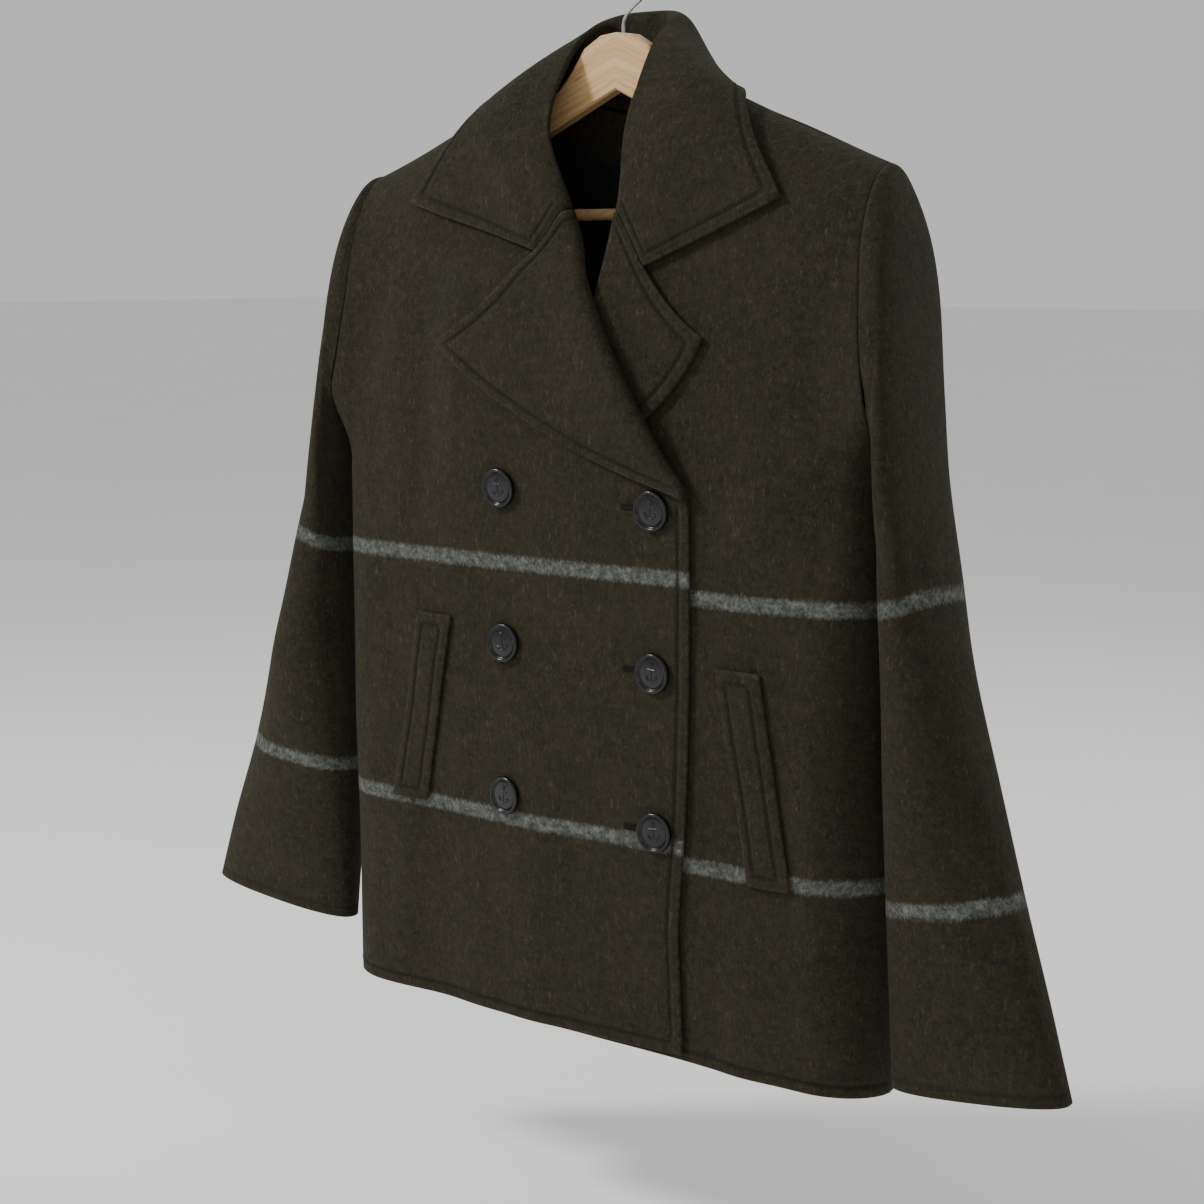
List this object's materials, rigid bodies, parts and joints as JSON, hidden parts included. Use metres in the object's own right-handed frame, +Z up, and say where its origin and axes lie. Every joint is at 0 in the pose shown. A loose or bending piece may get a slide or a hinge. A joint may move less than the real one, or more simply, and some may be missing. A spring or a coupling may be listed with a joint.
{
  "type": "military pea coat on a wooden hanger",
  "caption": "Hip-length double-breasted wool pea coat with a wide turned collar, notched lapels and slanted welt pockets, hanging buttoned on a wooden hanger with a wire hook.",
  "frame": {"origin": "top of the hook's inside, where the hook bears on the rail or peg that holds it", "axes": "+Z up, the coat's front faces -Y, the wearer's left is at +X"},
  "size_m": [0.8508, 0.1327, 0.8629],
  "materials": {
    "wool": "heavy milled wool, dark olive brown with two woven grey stripes, matt with a short nap",
    "lining": "black twill lining, slight sheen",
    "button": "glossy black moulded buttons",
    "wood": "pale wood with a thin satin varnish",
    "steel": "bright plated wire"
  },
  "bodies": {
    "root": {"front_right": "wool", "front_left": "wool", "back": "wool", "lining_back": "lining", "lapel_right": "wool", "lapel_left": "wool", "collar": "wool", "sleeve_under_right": "wool", "sleeve_top_right": "wool", "sleeve_under_left": "wool", "sleeve_top_left": "wool", "welt_right": "wool", "welt_left": "wool", "hanger_body": "wood", "hanger_bar": "wood", "hanger_hook": "steel", "button_1": "button", "button_2": "button", "button_3": "button", "button_4": "button", "button_5": "button", "button_6": "button"}
  },
  "joints": []
}
